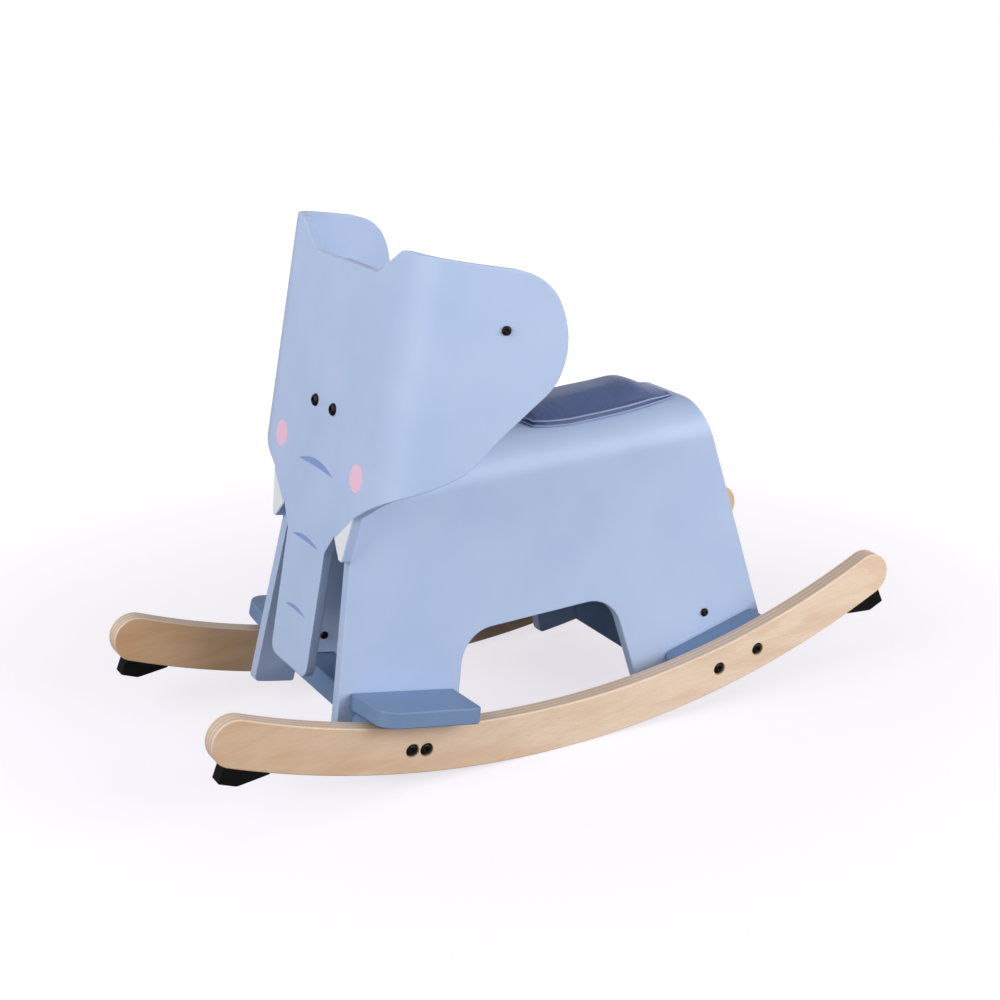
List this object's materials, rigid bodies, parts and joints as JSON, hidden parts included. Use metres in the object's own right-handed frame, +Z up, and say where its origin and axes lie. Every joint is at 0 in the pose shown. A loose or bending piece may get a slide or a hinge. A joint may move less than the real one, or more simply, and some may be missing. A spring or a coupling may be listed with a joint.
{
  "type": "rocking elephant",
  "caption": "Child's rocking elephant: bent-plywood body and eared head with handle bar, padded seat, footrests and rubber end stops on curved rockers.",
  "frame": {"origin": "middle of the overall box on the floor, with the toy resting nose down under its own balance", "axes": "+Z up, -Y the way the elephant faces, +X the elephant's left side"},
  "size_m": [0.318, 0.6643, 0.4334],
  "materials": {
    "blue_paint": "satin light blue paint over bent birch plywood",
    "shade_paint": "satin mid blue paint over solid beech",
    "beech_ply": "clear matt lacquer over pale beech plywood",
    "leatherette": "fine-grained slate blue imitation leather",
    "rubber": "moulded matt black rubber",
    "black_steel": "black oxide steel"
  },
  "bodies": {
    "root": {"block_screw_left": "black_steel", "block_screw_right": "black_steel", "body_shell": "blue_paint", "eye_bolt_left": "black_steel", "eye_bolt_right": "black_steel", "footrest_bolt_left": "black_steel", "footrest_bolt_right": "black_steel", "footrest_left": "shade_paint", "footrest_right": "shade_paint", "front_beam": "shade_paint", "front_block_left": "shade_paint", "front_block_right": "shade_paint", "handle_bar": "shade_paint", "handle_bolt_left": "black_steel", "handle_bolt_right": "black_steel", "head_panel": "blue_paint", "neck_block": "shade_paint", "neck_screw_left": "black_steel", "neck_screw_right": "black_steel", "rear_block_left": "shade_paint", "rear_block_right": "shade_paint", "rear_bulkhead": "shade_paint", "rear_stretcher": "shade_paint", "rocker_bolt_front_left_1": "black_steel", "rocker_bolt_front_left_2": "black_steel", "rocker_bolt_front_right_1": "black_steel", "rocker_bolt_front_right_2": "black_steel", "rocker_bolt_rear_left_1": "black_steel", "rocker_bolt_rear_left_2": "black_steel", "rocker_bolt_rear_right_1": "black_steel", "rocker_bolt_rear_right_2": "black_steel", "rocker_left": "beech_ply", "rocker_right": "beech_ply", "seat_board": "beech_ply", "seat_cushion": "leatherette", "seat_screw_1": "black_steel", "seat_screw_2": "black_steel", "stop_front_left": "rubber", "stop_front_right": "rubber", "stop_rear_left": "rubber", "stop_rear_right": "rubber", "stop_screw_front_left": "black_steel", "stop_screw_front_right": "black_steel", "stop_screw_rear_left": "black_steel", "stop_screw_rear_right": "black_steel", "stretcher_bolt_left": "black_steel", "stretcher_bolt_right": "black_steel"}
  },
  "joints": []
}
